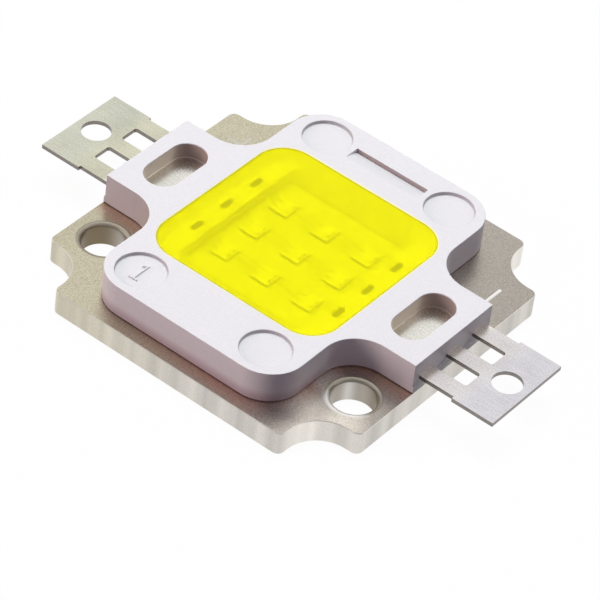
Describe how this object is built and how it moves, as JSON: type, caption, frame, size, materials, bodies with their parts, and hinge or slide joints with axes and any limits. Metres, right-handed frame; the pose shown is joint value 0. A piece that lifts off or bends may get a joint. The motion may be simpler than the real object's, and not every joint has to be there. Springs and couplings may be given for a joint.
{
  "type": "high-power led chip",
  "caption": "Square high-power LED chip: dies under yellow phosphor gel in a white moulded frame on a notched metal base, with a flat solder tab on each side and screw holes.",
  "frame": {"origin": "middle of the flat underside of the metal base, which is the middle of the part's box", "axes": "+Z the way the light leaves, +X from the positive tab to the negative tab, -Y towards the two screw holes"},
  "size_m": [0.029, 0.02, 0.0032],
  "materials": {
    "nickel_plate": "matte nickel plating with a fine sandy grain",
    "white_moulding": "white glass-filled thermoplastic, fine satin mould finish",
    "tinned_lead": "satin silver-grey plated strip with stamped edges",
    "phosphor_gel": "clear glossy silicone filled with yellow phosphor",
    "die": "polished crystal seen through the yellow gel",
    "gold_wire": "fine drawn gold wire"
  },
  "bodies": {
    "root": {"base_plate": "nickel_plate", "moulded_frame": "white_moulding", "lead_positive": "tinned_lead", "lead_negative": "tinned_lead", "phosphor_gel": "phosphor_gel", "led_die_1_1": "die", "led_die_1_2": "die", "led_die_1_3": "die", "led_die_2_1": "die", "led_die_2_2": "die", "led_die_2_3": "die", "led_die_3_1": "die", "led_die_3_2": "die", "led_die_3_3": "die", "bond_wire_1_1": "gold_wire", "bond_wire_1_2": "gold_wire", "bond_wire_1_3": "gold_wire", "bond_wire_1_4": "gold_wire", "bond_wire_1_5": "gold_wire", "bond_wire_1_6": "gold_wire", "bond_wire_1_7": "gold_wire", "bond_wire_1_8": "gold_wire", "bond_wire_2_1": "gold_wire", "bond_wire_2_2": "gold_wire", "bond_wire_2_3": "gold_wire", "bond_wire_2_4": "gold_wire", "bond_wire_2_5": "gold_wire", "bond_wire_2_6": "gold_wire", "bond_wire_2_7": "gold_wire", "bond_wire_2_8": "gold_wire", "bond_wire_3_1": "gold_wire", "bond_wire_3_2": "gold_wire", "bond_wire_3_3": "gold_wire", "bond_wire_3_4": "gold_wire", "bond_wire_3_5": "gold_wire", "bond_wire_3_6": "gold_wire", "bond_wire_3_7": "gold_wire", "bond_wire_3_8": "gold_wire"}
  },
  "joints": []
}
